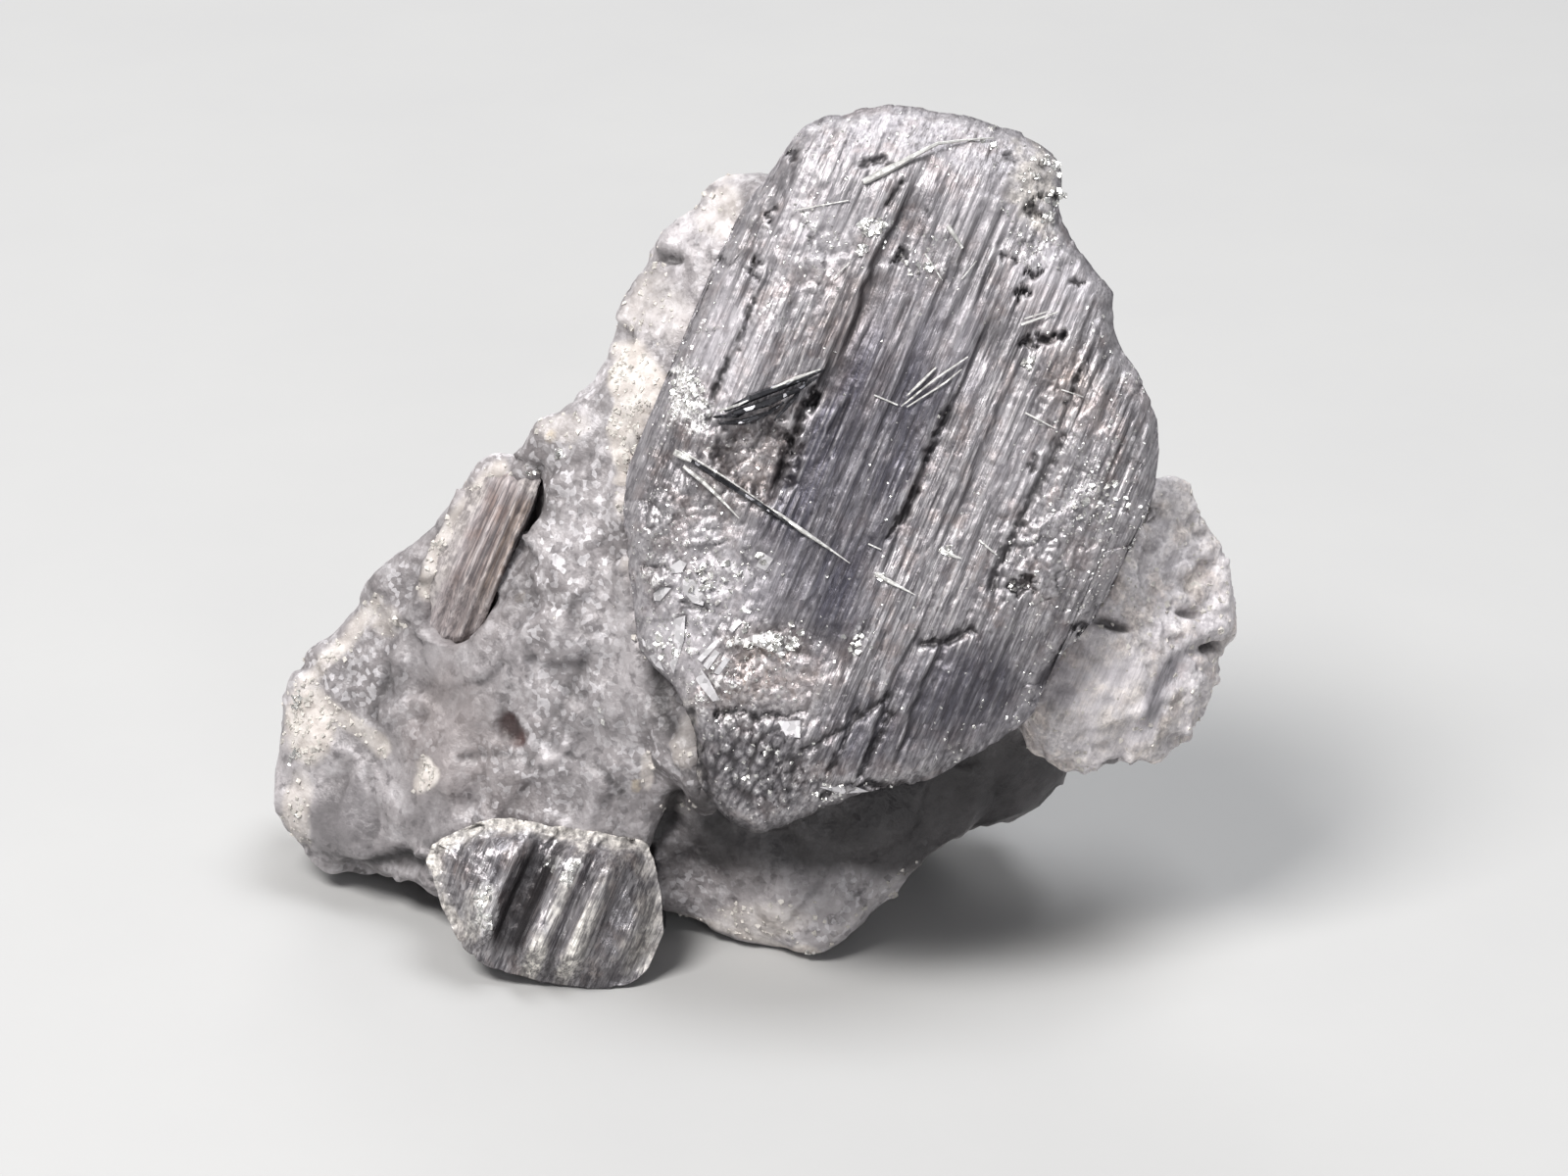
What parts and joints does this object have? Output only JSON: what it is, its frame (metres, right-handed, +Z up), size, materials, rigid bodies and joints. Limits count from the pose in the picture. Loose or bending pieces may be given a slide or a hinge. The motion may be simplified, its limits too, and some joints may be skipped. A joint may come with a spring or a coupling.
{
  "type": "mineral specimen",
  "caption": "Andorite specimen: a striated silver-grey crystal leaning on a lump of pale matrix rock, with smaller crystals set in the rock beside and below it.",
  "frame": {"origin": "centre of the specimen's bounding box, on the surface it rests on", "axes": "+X to the right across the big crystal's face, +Y away from someone looking at that face, +Z up"},
  "size_m": [0.0274, 0.0148, 0.0237],
  "materials": {
    "andorite_crystal": "metallic, striated",
    "side_crystal": "metallic under a pale crust",
    "fluted_crystal": "bright metallic, fluted",
    "blade_crystal": "brown-black, striated",
    "matrix": "rough, granular"
  },
  "bodies": {
    "root": {"andorite_crystal": "andorite_crystal", "side_crystal": "side_crystal", "fluted_crystal": "fluted_crystal", "blade_crystal": "blade_crystal", "matrix": "matrix"}
  },
  "joints": []
}
